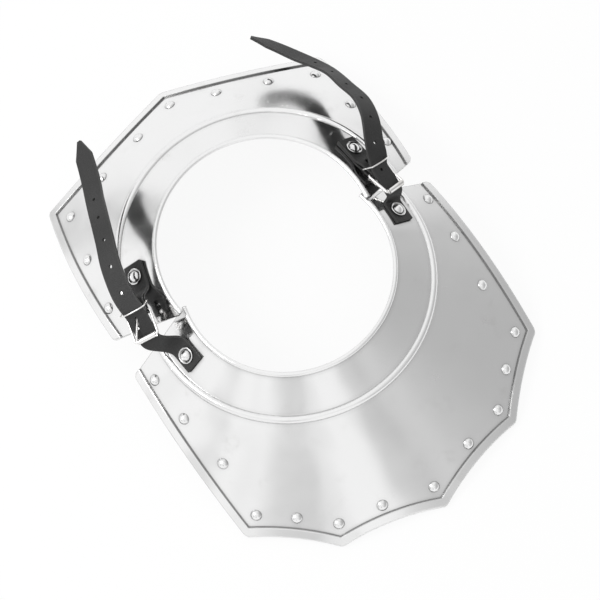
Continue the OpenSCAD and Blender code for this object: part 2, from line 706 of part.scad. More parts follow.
// Hole stretched by the prong that passes through it
stretch_r = 2 * prong_r;
prong_meets = (strap_high - prong_root) / (tan(strap_climb) + tan(engaged_lift));
prong_pass = (strap_t / 2 / cos(strap_climb) + prong_r + 2 * lay_gap)
    / (tan(strap_climb) + tan(engaged_lift));
stretch_from = (prong_meets - prong_pass) / cos(prong_skew);
stretch_to = (prong_meets + prong_pass) / cos(prong_skew);
module stretched_hole(side) {
    depth = 2 * strap_high;
    at_buckle(side) rotate([0, 0, side * prong_skew]) translate([0, 0, -prong_r - lay_gap]) {
        translate([stretch_from + stretch_r, -stretch_r, 0])
            cube([stretch_to - stretch_from - 2 * stretch_r, 2 * stretch_r, depth]);
        for (u = [stretch_from + stretch_r, stretch_to - stretch_r])
            translate([u, 0, 0]) cylinder(h = depth, r = stretch_r);
    }
}
module strap_tail(side) {
    walk = tail_walk(side);
    leather() difference() {
        band(tail_path(side), strap_t);
        if (side == LEFT) stretched_hole(side);
        for (k = free_holes(side))
            on_band(tail_station(side, lookup(strap_hole_start + k * strap_hole_pitch, walk)))
            cylinder(h = 2 * strap_t, r = strap_hole_r, center = true);
    }
}
module strap_root(side) {
    leather() difference() {
        band(root_path(side), strap_t);
        at_front_rivet(side) strap_rivet_hole(strap_grip);
    }
}

// Keeper: a wire ring through the fold and over the strap, leaning with the strap.
// Its arched top is soldered to the sides.
keeper_lean = 35;
keeper_half = strap_w / 2 + 5 * lay_gap + keeper_r;
keeper_bend = 1.2;
keeper_arch = 2;
keeper_side = 10.1;
solder_r = 1.15 * keeper_r;
function keeper_slip(side) = side == LEFT ? left_keeper_slip : right_keeper_slip;
module keeper(side) {
    arch_r = (keeper_half * keeper_half + keeper_arch * keeper_arch) / (2 * keeper_arch);
    spread = asin(keeper_half / arch_r);
    nickel() at_buckle(side, -keeper_reach, keeper_slip(side))
    rotate([0, keeper_lean, 0]) rotate([90, 0, 90]) {
        rotate([0, 90, 0])
            cylinder(h = 2 * (keeper_half - keeper_bend), r = keeper_r, center = true);
        for (edge = [0, 1]) mirror([edge, 0, 0]) {
            translate([keeper_half - keeper_bend, keeper_bend, 0])
                rotate([0, 0, -90]) elbow(keeper_bend, keeper_r);
            translate([keeper_half, keeper_bend, 0]) rotate([-90, 0, 0])
                cylinder(h = keeper_side - keeper_bend, r = keeper_r);
            translate([keeper_half, keeper_side, 0]) sphere(solder_r);
        }
        translate([0, keeper_side + keeper_arch - arch_r, 0]) rotate([0, 0, 90 - spread])
            elbow(arch_r, keeper_r, 2 * spread);
    }
}

module left_chape() { chape(LEFT); }
module left_chape_rivet() { chape_rivet(LEFT); }
module left_chape_washer() { chape_washer(LEFT); }
module left_keeper() { keeper(LEFT); }
module left_buckle_frame() { buckle_frame(LEFT); }
module left_roller() { roller(LEFT); }
module left_tongue() { tongue(LEFT); }
module left_strap_tail() { strap_tail(LEFT); }
module left_strap_root() { strap_root(LEFT); }
module left_strap_rivet() { strap_rivet(LEFT); }
module left_strap_washer() { strap_washer(LEFT); }
module right_chape() { chape(RIGHT); }
module right_chape_rivet() { chape_rivet(RIGHT); }
module right_chape_washer() { chape_washer(RIGHT); }
module right_keeper() { keeper(RIGHT); }
module right_buckle_frame() { buckle_frame(RIGHT); }
module right_roller() { roller(RIGHT); }
module right_tongue() { tongue(RIGHT); }
module right_strap_tail() { strap_tail(RIGHT); }
module right_strap_root() { strap_root(RIGHT); }
module right_strap_rivet() { strap_rivet(RIGHT); }
module right_strap_washer() { strap_washer(RIGHT); }

back_plate();
front_plate();
back_rivets();
front_rivets();
left_chape();
left_chape_rivet();
left_chape_washer();
left_keeper();
left_buckle_frame();
left_roller();
left_tongue();
left_strap_tail();
left_strap_root();
left_strap_rivet();
left_strap_washer();
right_chape();
right_chape_rivet();
right_chape_washer();
right_keeper();
right_buckle_frame();
right_roller();
right_tongue();
right_strap_tail();
right_strap_root();
right_strap_rivet();
right_strap_washer();
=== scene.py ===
# %% [markdown]
# A gorget is the collar of a suit of armour. This one has a front and a back plate of
# polished steel sheet, joined over each shoulder by a black leather strap with a small
# roller buckle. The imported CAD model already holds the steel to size, so this lesson
# loads it as a fixed frame, gives every surface its finish, cuts the leather anew as
# soft strips, and lights the whole for one photograph.

import json
import math

import bmesh
import bpy
from mathutils import Matrix, Vector


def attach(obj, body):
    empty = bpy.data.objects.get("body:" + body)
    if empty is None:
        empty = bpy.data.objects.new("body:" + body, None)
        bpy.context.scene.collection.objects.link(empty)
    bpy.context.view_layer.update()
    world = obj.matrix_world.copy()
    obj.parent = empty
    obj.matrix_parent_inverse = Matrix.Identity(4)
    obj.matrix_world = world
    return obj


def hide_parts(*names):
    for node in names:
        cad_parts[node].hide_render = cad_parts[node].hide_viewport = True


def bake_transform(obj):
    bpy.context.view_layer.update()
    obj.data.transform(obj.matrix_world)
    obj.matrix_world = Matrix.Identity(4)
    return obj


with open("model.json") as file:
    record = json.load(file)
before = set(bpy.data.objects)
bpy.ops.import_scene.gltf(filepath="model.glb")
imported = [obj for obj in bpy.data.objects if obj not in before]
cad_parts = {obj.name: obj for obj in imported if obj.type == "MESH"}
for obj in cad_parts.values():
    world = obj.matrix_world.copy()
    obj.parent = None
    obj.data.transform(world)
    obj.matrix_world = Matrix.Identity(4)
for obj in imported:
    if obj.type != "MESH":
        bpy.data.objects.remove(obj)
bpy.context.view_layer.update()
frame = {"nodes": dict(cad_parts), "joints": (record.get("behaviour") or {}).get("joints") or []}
nodes = frame["nodes"]
joints = {joint["name"]: joint for joint in frame["joints"]}
MM = 0.001

# %% [markdown]
# The camera comes first, because every finish is judged through it. The photograph was
# taken from high above the front plate, turned to the side, with a long lens. Its axes
# were worked out from the plates' circles and corners, and a camera object takes them
# as the columns of its matrix. It looks along its own -Z.

# %% Camera
CAMERA_PLACE = Vector((-157.7, -331.6, 1212.1)) * MM
CAMERA_RIGHT = Vector((0.816, -0.576, -0.047))
VIEW_AXIS = Vector((0.1275, 0.2587, -0.9573)).normalized()
LENS_MM = 102.86
NEAREST_M = 0.05
FARTHEST_M = 20


def look_from(place, right, view_axis):
    """The matrix of a camera with its own X to the right and -Z along the view."""
    right = (right - right.dot(view_axis) * view_axis).normalized()
    up = right.cross(view_axis)
    turn = Matrix((right, up, -view_axis)).transposed()
    return Matrix.Translation(place) @ turn.to_4x4()


lens = bpy.data.cameras.new("photo_lens")
lens.lens = LENS_MM
lens.clip_start = NEAREST_M
lens.clip_end = FARTHEST_M
camera = bpy.data.objects.new("photo_camera", lens)
camera.matrix_world = look_from(CAMERA_PLACE, CAMERA_RIGHT, VIEW_AXIS)
bpy.context.scene.collection.objects.link(camera)
bpy.context.scene.camera = camera
print("camera at", [round(c, 3) for c in camera.location])

# %% [markdown]
# The maths of a material reads best as plain expressions, so a small class wraps a
# node's output socket. Adding or multiplying two of them adds the Math node that does
# it. Colours and directions go through nodes of their own.

# %% Shader maths


class Wire:
    """An output socket, with arithmetic that adds Math nodes."""

    def __init__(self, shader, socket):
        self.shader = shader
        self.socket = socket

    def maths(self, operation, *terms):
        return self.shader.node("ShaderNodeMath", dict(enumerate(terms)), operation=operation)

    def __add__(self, other):
        return self.maths("ADD", self, other)

    def __radd__(self, other):
        return self.maths("ADD", other, self)

    def __sub__(self, other):
        return self.maths("SUBTRACT", self, other)

    def __rsub__(self, other):
        return self.maths("SUBTRACT", other, self)

    def __mul__(self, other):
        return self.maths("MULTIPLY", self, other)

    def __rmul__(self, other):
        return self.maths("MULTIPLY", other, self)

    def ramp(self, low, high):
        """Goes smoothly from 0 to 1 between two levels."""
        inputs = {"Value": self, "From Min": low, "From Max": high}
        return self.shader.node("ShaderNodeMapRange", inputs, interpolation_type="SMOOTHSTEP")


class Shader:
    """The node tree of a material or of the world, whose nodes are added one call at a time."""

    def __init__(self, tree):
        self.tree = tree

    def node(self, kind, inputs=None, output=0, **settings):
        made = self.tree.nodes.new(kind)
        for key, value in settings.items():
            setattr(made, key, value)
        for key, value in (inputs or {}).items():
            self.plug(made.inputs[key], value)
        return Wire(self, made.outputs[output])

    def plug(self, socket, value):
        if isinstance(value, Wire):
            self.tree.links.new(value.socket, socket)
        else:
            socket.default_value = value

    def place(self):
        return self.node("ShaderNodeTexCoord", output="Object")

    def stretched(self, where, factors):
        return self.node("ShaderNodeMapping", {"Vector": where, "Scale": factors})

    def noise(self, where, scale, detail=3.0, roughness=0.5):
        inputs = {"Vector": where, "Scale": scale, "Detail": detail, "Roughness": roughness}
        return self.node("ShaderNodeTexNoise", inputs)

    def tint(self, share, first, second):
        """Blends two colours."""
        made = self.tree.nodes.new("ShaderNodeMix")
        made.data_type = "RGBA"
        for name, value in (("Factor", share), ("A", first), ("B", second)):
            self.plug([i for i in made.inputs if i.name == name and i.enabled][0], value)
        return Wire(self, [o for o in made.outputs if o.enabled][0])

    def bump(self, height, distance, normal=None):
        inputs = {"Height": height, "Distance": distance}
        if normal is not None:
            inputs["Normal"] = normal
        return self.node("ShaderNodeBump", inputs)


def new_finish(name):
    """A material and the shader that its tree is built with."""
    material = bpy.data.materials.new(name)
    material.use_nodes = True
    return material, Shader(material.node_tree)


def set_surface(material, shader, **values):
    surface = material.node_tree.nodes["Principled BSDF"]
    for key, value in values.items():
        shader.plug(surface.inputs[key.replace("_", " ")], value)
    return material


def grey(level, warmth=0.0):
    """A nearly neutral colour, a touch warmer or cooler."""
    return (level * (1 + warmth), level, level * (1 - warmth), 1.0)


# %% [markdown]
# The steel was hammered, sanded and buffed by hand. Under the shine it keeps traces of
# all three: a slow waviness, clouds where the buffing wheel pressed less, and hair
# scratches. Noises of different size drive the height and the roughness of one metal
# surface. An ambient occlusion node paints shade into the colour of the corners. A
# bevel node rounds the edges of the sheet, and where it turns the normal, a thin dark
# line of painted shade is drawn along the edge.

# %% Polished steel
STEEL_GREY = 0.89
PAINTED_SHADE_GREY = 0.05
HAMMER_SCALE = 18.0
CLOUD_SCALE = 8.0
STAIN_SCALE = 42.0
SCRATCH_SCALE = 700.0
SCRATCH_STRETCH = 0.06
CLOUD_LEVELS = (0.42, 0.66)
STAIN_LEVELS = (0.56, 0.78)
STAIN_SHARE = 0.4
STAIN_DIM = 0.8
STAIN_ROUGHNESS = 0.07
SCRATCH_ROUGHNESS = 0.05
PAINTED_SHADE_WARMTH = 0.02
CORNER_LEVELS = (0.58, 0.98)
EDGE_LEVELS = (0.80, 0.99)
EDGE_SHADE_SHARE = 0.5


def painted_corner_shade(shader, colour, reach, share):
    """Paints shade into a colour in the corners, where the surface sees little of the room."""
    open_sky = shader.node("ShaderNodeAmbientOcclusion", {"Distance": reach * MM},
                           output="AO", samples=8)
    # Painted shade: the colour darkens where the occlusion node finds a corner.
    corner_shade = 1.0 - open_sky.ramp(*CORNER_LEVELS)
    return shader.tint(corner_shade * share, colour, grey(PAINTED_SHADE_GREY, PAINTED_SHADE_WARMTH))


def painted_edge_shade(shader, colour, radius):
    """Paints a thin line of shade along the sharp edges of a colour, and gives the normal that
    rounds them.
    """
    rounded = shader.node("ShaderNodeBevel", {"Radius": radius * MM}, samples=6)
    flat = shader.node("ShaderNodeNewGeometry", output="Normal")
    alike = shader.node("ShaderNodeVectorMath", {0: rounded, 1: flat}, output="Value",
                        operation="DOT_PRODUCT")
    # Painted shade: a thin dark line is drawn where the rounded normal turns away.
    edge_shade = 1.0 - alike.ramp(*EDGE_LEVELS)
    return shader.tint(edge_shade * EDGE_SHADE_SHARE, colour, grey(PAINTED_SHADE_GREY, PAINTED_SHADE_WARMTH)), rounded


def polished_steel(name, mirror, satin, wave, reach, corner_shade_share, round_mm):
    """A finish between mirror and satin, with painted shade in the corners and along the rounded
    edges.
    """
    material, shader = new_finish(name)
    where = shader.place()
    waves = shader.noise(where, HAMMER_SCALE, detail=1.0)
    clouds = shader.noise(where, CLOUD_SCALE, detail=4.0, roughness=0.6).ramp(*CLOUD_LEVELS)
    stains = shader.noise(where, STAIN_SCALE, detail=5.0, roughness=0.65).ramp(*STAIN_LEVELS)
    lengthwise = shader.stretched(where, (1.0, SCRATCH_STRETCH, 1.0))
    crosswise = shader.stretched(where, (SCRATCH_STRETCH, 1.0, 1.0))
    along = shader.noise(lengthwise, SCRATCH_SCALE, detail=2.0)
    across = shader.noise(crosswise, SCRATCH_SCALE, detail=2.0)
    scratches = along + across - 1.0
    rough = (mirror + (satin - mirror) * clouds + STAIN_ROUGHNESS * stains
             + SCRATCH_ROUGHNESS * scratches)
    stained = grey(STEEL_GREY * STAIN_DIM, 0.01)
    colour = shader.tint(stains * STAIN_SHARE, grey(STEEL_GREY), stained)
    # Painted shade goes into the colour, first in the corners, then along the edges.
    colour = painted_corner_shade(shader, colour, reach, corner_shade_share)
    colour, rounded = painted_edge_shade(shader, colour, round_mm)
    form = shader.bump(waves, wave, rounded)
    return set_surface(material, shader, Base_Color=colour, Metallic=1.0, Roughness=rough,
                       Normal=form)


sheet_steel = polished_steel("polished_sheet", mirror=0.11, satin=0.26, wave=1.2 * MM,
                             reach=4.0, corner_shade_share=0.5, round_mm=1.4)
rivet_steel = polished_steel("rivet_heads", mirror=0.14, satin=0.24, wave=0.1 * MM,
                             reach=5.0, corner_shade_share=1.0, round_mm=0.4)
print("steel finishes:", sheet_steel.name, rivet_steel.name)

# %% [markdown]
# The buckles are bent wire with a bright nickel plating. It is warmer and smoother than
# the steel, with a fine unevenness from the plating bath.

# %% Nickel plated wire
BATH_SCALE = 350.0
BATH_RELIEF = 0.04
DULL_LEVELS = (0.5, 0.7)
BRIGHT_GREY = 0.86
DULL_GREY = 0.68
BRIGHT_ROUGHNESS = 0.12
DULL_ROUGHNESS = 0.26
WIRE_REACH = 0.8
WIRE_CORNER_SHADE = 0.6


def nickel_plate():
    material, shader = new_finish("nickel_wire")
    where = shader.place()
    uneven = shader.noise(where, BATH_SCALE)
    dull = shader.noise(where, BATH_SCALE / 4).ramp(*DULL_LEVELS)
    rough = BRIGHT_ROUGHNESS + (DULL_ROUGHNESS - BRIGHT_ROUGHNESS) * dull
    colour = shader.tint(dull, grey(BRIGHT_GREY, 0.01), grey(DULL_GREY, 0.03))
    # Painted shade darkens the wire in its corners.
    colour = painted_corner_shade(shader, colour, WIRE_REACH, WIRE_CORNER_SHADE)
    return set_surface(material, shader, Base_Color=colour, Metallic=1.0, Roughness=rough,
                       Normal=shader.bump(uneven, BATH_RELIEF * MM))


nickel = nickel_plate()
print("wire finish:", nickel.name)

# %% [markdown]
# The straps are black harness leather. Its grain is a net of tiny pebbles, so a cell
# pattern gives the height: each pebble is high in the middle and low at its rim. The cut
# edges were burnished and rub paler. The strips carry a UV map with the length and the
# width in metres, so the distance from the edge is known anywhere.

# %% Black leather
STRAP_WIDTH = 15.5
PEBBLE_SCALE = 1000.0
LEATHER_GREY = 0.012
WORN_GREY = 0.04
WORN_SCALE = 60.0
WORN_LEVELS = (0.45, 0.78)
WORN_SHARE = 0.4
RIM_SHARE = 0.3
RIM_WIDTH = 1.2
RIM_SPARE = 0.1
LEATHER_ROUGHNESS = 0.50
WORN_ROUGHNESS = 0.15
RIM_SHINE = 0.08
PORE_SHARE = 0.4
GRAIN_RELIEF = 0.18


def black_leather():
    material, shader = new_finish("black_leather")
    where = shader.place()
    laid = shader.node("ShaderNodeUVMap", uv_map="strip")
    across = shader.node("ShaderNodeSeparateXYZ", {"Vector": laid}, output="Y")
    off_middle = shader.node("ShaderNodeMath", {0: across}, operation="ABSOLUTE")
    rim = off_middle.ramp((STRAP_WIDTH / 2 - RIM_WIDTH) * MM, (STRAP_WIDTH / 2 - RIM_SPARE) * MM)
    pebbles = shader.node("ShaderNodeTexVoronoi", {"Vector": where, "Scale": PEBBLE_SCALE})
    pores = shader.noise(where, PEBBLE_SCALE * 3)
    worn = shader.noise(where, WORN_SCALE, detail=5.0, roughness=0.6).ramp(*WORN_LEVELS)
    colour = shader.tint(worn * WORN_SHARE + rim * RIM_SHARE, grey(LEATHER_GREY),
                         grey(WORN_GREY, 0.02))
    rough = LEATHER_ROUGHNESS + WORN_ROUGHNESS * worn - RIM_SHINE * rim
    form = shader.bump(pores * PORE_SHARE - pebbles, GRAIN_RELIEF * MM)
    return set_surface(material, shader, Base_Color=colour, Roughness=rough, Normal=form)


leather = black_leather()
print("leather finish:", leather.name)

# %% [markdown]
# The steel and wire keep their CAD meshes, which have the right shape already. Only
# their material slot changes. The leather nodes get one too, but the strips below
# replace them.

# %% Dress the CAD nodes


def finish_of(node):
    if node.endswith("_plate"):
        return sheet_steel
    if "rivet" in node or "washer" in node:
        return rivet_steel
    if "strap" in node or "chape" in node:
        return leather
    return nickel


for node_name, node_object in nodes.items():
    node_object.data.materials.clear()
    node_object.data.materials.append(finish_of(node_name))
print("dressed", len(nodes), "nodes")

# %% [markdown]
# The strips have to meet the buckles and the rivets, so their ways are worked out from
# both. The joints give each buckle: one turns on its inner bar, another is its roller.
# The line between them, the roller's axis and the square to both are the buckle's own
# directions. From here on the sizes are in millimetres.

# %% Axes of the buckles
LEFT = -1
RIGHT = 1
SIDES = {LEFT: "left", RIGHT: "right"}


class Buckle:
    """Place of the inner bar, and directions to the roller, along the bars and up."""

    def __init__(self, side):
        bar = joints[SIDES[side] + "_buckle_swing"]
        roller = joints[SIDES[side] + "_roller_spin"]
        self.bar = Vector(bar["pos_m"]) / MM
        reach = Vector(roller["pos_m"]) / MM - self.bar
        self.length = reach.length
        self.ahead = reach.normalized()
        self.across = Vector(roller["axis"]).normalized()
        self.up = self.ahead.cross(self.across)

    def at(self, ahead, up):
        """A place so far towards the roller from the inner bar, and so far up."""
        return self.bar + ahead * self.ahead + up * self.up


buckles = {side: Buckle(side) for side in SIDES}
print("bars are", [round(b.length, 1) for b in buckles.values()], "mm from their rollers")

# %% [markdown]
# Each strap rivet stands on a collar, which is a cone. A place on it follows from the
# radius and an angle, and the cone's slope tilts the normal. The front plate is tilted
# a little and the back plate is turned round, so both are rotated to their places.

# %% Places of the strap rivets
SHEET = 1.2
ROLL_R = 1.8
FRONT_NECK = Vector((-0.28, 1.06, 69.592))
BACK_NECK = Vector((-0.28, 26.76, 73.303))
FRONT_TURN = Matrix.Rotation(math.radians(-3.4), 3, "X")
BACK_TURN = Matrix.Rotation(math.radians(180 - 3.9), 3, "Z")
FRONT_NECK_R = 74.5
BACK_NECK_R = 76.5
FRONT_SLOPE = 36
BACK_SLOPE = 34.5
FRONT_RIVET_R = 90.5
BACK_RIVET_R = 93.5
FRONT_RIVET_ANGLE = 86
BACK_RIVET_ANGLE = 72.5
SKY = Vector((0, 0, 1))


class Rivet:
    """Place of a strap rivet, and directions along the collar, off it and across."""

    def __init__(self, side, neck_r, slope_deg, rivet_r, angle_deg, neck, turn):
        slope = math.radians(slope_deg)
        angle = math.radians(angle_deg)
        out = Vector((side * math.sin(angle), -math.cos(angle), 0))
        roll_to_face = ROLL_R - SHEET
        top_r = neck_r + ROLL_R - roll_to_face * math.sin(slope)
        top = -ROLL_R - roll_to_face * math.cos(slope)
        height = top - (rivet_r - top_r) * math.tan(slope)
        self.place = turn @ (rivet_r * out + height * SKY) + neck
        self.along = turn @ Vector((side * math.cos(angle), math.sin(angle), 0))
        self.up = turn @ (math.sin(slope) * out + math.cos(slope) * SKY)

    def at(self, heading, along, up):
        """A place so far along a heading from the rivet, and so far off the collar."""
        return self.place + along * heading + up * self.up


front_rivets = {side: Rivet(side, FRONT_NECK_R, FRONT_SLOPE, FRONT_RIVET_R, FRONT_RIVET_ANGLE,
                            FRONT_NECK, FRONT_TURN) for side in SIDES}
back_rivets = {side: Rivet(-side, BACK_NECK_R, BACK_SLOPE, BACK_RIVET_R, BACK_RIVET_ANGLE,
                           BACK_NECK, BACK_TURN) for side in SIDES}
print("left strap rivet at", [round(c, 1) for c in front_rivets[LEFT].place])

# %% [markdown]
# A way is a list of stations, each a place and the direction of the leather's width.
# Between two stations whose headings are known, the leather takes an even bend, which
# a cubic curve describes. Where it hangs free it goes smoothly through a list of
# places, and a second kind of cubic curve does that.

# %% Ways through space
BEND_STEPS = 20
HEADING_REACH = 0.8


def bend(a, heading_a, width_a, b, heading_b, width_b):
    """Stations of an even bend from one place and heading to another."""
    pull = (b - a).length
    stations = []
    for k in range(BEND_STEPS + 1):
        t = k / BEND_STEPS
        place = ((2 * t ** 3 - 3 * t ** 2 + 1) * a + (t ** 3 - 2 * t ** 2 + t) * pull * heading_a
                 + (3 * t ** 2 - 2 * t ** 3) * b + (t ** 3 - t ** 2) * pull * heading_b)
        stations.append((place, (1 - t) * width_a + t * width_b))
    return stations


def through(values, t):
    """The value at t of a smooth curve through the values, which t counts."""
    i = min(len(values) - 2, max(0, int(t)))
    before = values[i - 1] if i > 0 else 2 * values[0] - values[1]
    after = values[i + 2] if i + 2 < len(values) else 2 * values[-1] - values[-2]
    a, b = values[i], values[i + 1]
    t -= i
    return 0.5 * (2 * a + (b - before) * t + (2 * before - 5 * a + 4 * b - after) * t ** 2
                  + (3 * a - before - 3 * b + after) * t ** 3)


class Way:
    """Stations with the length walked to each, and the strip's axes at any length."""

    def __init__(self, stations):
        self.stations = stations
        self.walked = [0.0]
        for (a, _), (b, _) in zip(stations, stations[1:]):
            self.walked.append(self.walked[-1] + (b - a).length)
        self.length = self.walked[-1]

    def between(self, s):
        """Place and width at a length, between the two nearest stations."""
        s = min(max(s, 0.0), self.length)
        i = max(k for k in range(len(self.walked) - 1) if self.walked[k] <= s)
        share = (s - self.walked[i]) / (self.walked[i + 1] - self.walked[i])
        (a, width_a), (b, width_b) = self.stations[i], self.stations[i + 1]
        return a.lerp(b, share), width_a.lerp(width_b, share)

    def axes(self, s):
        """Place, width and face normal at a length."""
        place, width = self.between(s)
        ahead, _ = self.between(s + HEADING_REACH)
        behind, _ = self.between(s - HEADING_REACH)
        heading = (ahead - behind).normalized()
        width = (width - width.dot(heading) * heading).normalized()
        return place, width, heading.cross(width)


print("a bend has", BEND_STEPS + 1, "stations")

# %% [markdown]
# The strap starts behind its rivet on the front collar, bends up to the roller, passes
# under it and climbs over the fold that holds the inner bar. Its free end then hangs
# in the shape that stiff leather keeps. The lie tables say, for each stretch, its
# length, its heading away from the middle, its climb and the lean of its outer edge.

# %% Ways of the two straps
LAY_GAP = 0.3
SEAT_GAP = 0.1
WASHER_R = 5.9
ROLLER_R = 2.0
WIRE_R = 1.0
STRAP_T = 2.0
CHAPE_T = 1.6
STRAP_HEEL = 9.5
RISE = math.radians(28)
FOLD_R = WIRE_R + LAY_GAP + CHAPE_T / 2
STRAP_LOW = -(ROLLER_R + LAY_GAP + STRAP_T / 2) / math.cos(RISE)
STRAP_HIGH = (FOLD_R + CHAPE_T / 2 + LAY_GAP + STRAP_T / 2) / math.cos(RISE)
LEFT_LIE = [(9, 2, 9, 20), (10, -5, 10, 20), (19, -14, 10, 25), (19, -21, 2, 30),
            (19, -19, -16, 32), (19, -18, -28, 32), (19, -20, -25, 29), (19, -18, -15, 33),
            (19, -17, -4, 38)]
RIGHT_LIE = [(9, 26, 16, 28), (10, 24, 9, 33), (19, 27, -4, 38), (19, 15, -20, 42),
             (19, -2, -24, 47), (19, -1, -28, 50), (19, -10, -31, 46), (19, -23, -15, 43),
             (19, -29, 2, 47), (19, -37, 13, 53)]
LIES = {LEFT: LEFT_LIE, RIGHT: RIGHT_LIE}
CURVE_STEPS = 24


def lie_step(side, row):
    """The move from one place of a free end to the next."""
    length, heading, climb, _ = row
    heading, climb = math.radians(heading), math.radians(climb)
    return length * Vector((side * math.sin(heading) * math.cos(climb),
                            math.cos(heading) * math.cos(climb), math.sin(climb)))


def lie_width(side, row):
    """The direction of the leather's width on one stretch of a free end."""
    heading, lean = math.radians(row[1]), math.radians(row[3])
    level = Vector((math.cos(heading), -side * math.sin(heading), 0))
    return -math.cos(lean) * level + side * math.sin(lean) * SKY


def strap_way(side):
    """The way of a strap, and the length at which it passes under the roller."""
    rivet, buckle = front_rivets[side], buckles[side]
    lift = SEAT_GAP + STRAP_T / 2
    width = rivet.up.cross(rivet.along)
    rest = rivet.at(rivet.along, WASHER_R + LAY_GAP, lift)
    under = buckle.at(buckle.length, STRAP_LOW)
    over = buckle.at(0, STRAP_HIGH)
    climb = (over - under).normalized()
    end = under - climb
    arrival = (climb + (end - rest).normalized()).normalized()
    root = [(rivet.at(rivet.along, -STRAP_HEEL, lift), width)]
    root += bend(rest, rivet.along, width, end, arrival, -buckle.across)
    places = [under, under.lerp(over, 0.5), over]
    widths = [-buckle.across] * 3
    for row in LIES[side]:
        places.append(places[-1] + lie_step(side, row))
        widths.append(lie_width(side, row))
    count = (len(places) - 1) * CURVE_STEPS
    tail = [(through(places, k / CURVE_STEPS), through(widths, k / CURVE_STEPS))
            for k in range(count + 1)]
    return Way(root + tail), Way(root + tail[:1]).length


strap_ways = {side: strap_way(side) for side in SIDES}
print("straps are", [round(way.length) for way, _ in strap_ways.values()], "mm long")

# %% [markdown]
# A leather strip is made as a saddler makes it: cut flat, punched, and only then bent.
# A grid operator gives the flat blank. Its rows are moved so that one lies at every
# hole. Faces inside a hole are deleted and the vertices of its rim are drawn to the
# circle. Then each vertex is carried to its place on the way, and modifiers give the
# strip its thickness, its rounded edges and a smooth surface.

# %% Cutting and bending a strip
GRID_STEP = 1.0
COLUMNS = 16
EDGE_BEVEL = 0.3
EDGE_ANGLE = math.radians(50)
RIM_REACH = 1.2 * GRID_STEP


def spaced(marks):
    """Rows at every mark, evenly spaced between them."""
    rows = [marks[0]]
    for a, b in zip(marks, marks[1:]):
        count = max(1, round((b - a) / GRID_STEP))
        rows += [a + (b - a) * k / count for k in range(1, count + 1)]
    return rows


def flat_blank(marks, half_width):
    """A flat grid whose width at each length is given by a function."""
    rows = spaced(marks)
    form = bmesh.new()
    bmesh.ops.create_grid(form, x_segments=len(rows) - 1, y_segments=COLUMNS, size=1)
    for vert in form.verts:
        s = rows[round((vert.co.x + 1) / 2 * (len(rows) - 1))]
        vert.co = Vector((s, vert.co.y * half_width(s), 0))
    return form


def punch(form, start, end, radius):
    """Takes out a hole with round ends, from one place to another, and trues its rim."""
    start, end = Vector((*start, 0)), Vector((*end, 0))
    edge_shade = end - start

    def nearest(point):
        if edge_shade.length == 0:
            return start
        share = (point - start).dot(edge_shade) / edge_shade.length_squared
        return start + min(1, max(0, share)) * edge_shade

    inside = [f for f in form.faces
              if (f.calc_center_median() - nearest(f.calc_center_median())).length < radius]
    bmesh.ops.delete(form, geom=inside, context="FACES")
    for vert in form.verts:
        off = vert.co - nearest(vert.co)
        if vert.is_boundary and off.length < radius + RIM_REACH:
            vert.co = nearest(vert.co) + radius * off.normalized()


def bend_strip(name, form, way, thick):
    """Lays a flat strip on its way and makes it a finished piece."""
    map_layer = form.loops.layers.uv.new("strip")
    for face in form.faces:
        for loop in face.loops:
            loop[map_layer].uv = (loop.vert.co.x * MM, loop.vert.co.y * MM)
        face.smooth = True
    for vert in form.verts:
        place, width, _ = way.axes(vert.co.x)
        vert.co = (place + vert.co.y * width) * MM
    mesh = bpy.data.meshes.new(name)
    form.to_mesh(mesh)
    form.free()
    piece = bpy.data.objects.new(name, mesh)
    bpy.context.scene.collection.objects.link(piece)
    wall = piece.modifiers.new("thickness", "SOLIDIFY")
    wall.thickness = thick * MM
    wall.offset = 0
    wall.use_even_offset = True
    edges = piece.modifiers.new("burnished_edges", "BEVEL")
    edges.width = EDGE_BEVEL * MM
    edges.segments = 2
    edges.limit_method = "ANGLE"
    edges.angle_limit = EDGE_ANGLE
    rounding = piece.modifiers.new("rounding", "SUBSURF")
    rounding.levels = 1
    rounding.render_levels = 1
    mesh.materials.append(leather)
    return piece


def settle(piece):
    """Applies the modifiers, so that the piece holds the finished mesh."""
    graph = bpy.context.evaluated_depsgraph_get()
    done = bpy.data.meshes.new_from_object(piece.evaluated_get(graph))
    piece.modifiers.clear()
    piece.data = done
    return piece


print("strips are cut on a grid of", GRID_STEP, "mm")

# %% [markdown]
# The strap has a rivet hole, a row of free holes 20 mm apart, and a pointed end. On the
# left the prong goes through a hole of its own near the roller, which it has stretched
# sideways. The strap crosses the hinge line under the roller, but it stays one piece
# there and is not blended between the plates.

# %% The two straps
STRAP_HOLE_R = 1.4
RIVET_HOLE_R = 2.0
HOLE_PITCH = 20.0
FIRST_HOLE = 17.4
PRONG_HOLE = 13.4
FREE_HOLES = {LEFT: range(1, 6), RIGHT: range(0, 7)}
POINT_LENGTH = 13.0
POINT_WIDTH = 3.0
HINGE_BLEND = 5.0
PRONG_SLOT = ((-3.4, -1.1), (3.4, 1.1))
PRONG_SLOT_OFF = 2.27
PRONG_SLOT_R = 1.2


def strap_half_width(length):
    """Half the width of a strap of this length, which narrows to its point."""
    def half_width(s):
        share = min(1, max(0, (length - s) / POINT_LENGTH))
        return (POINT_WIDTH + (STRAP_WIDTH - POINT_WIDTH) * share) / 2
    return half_width


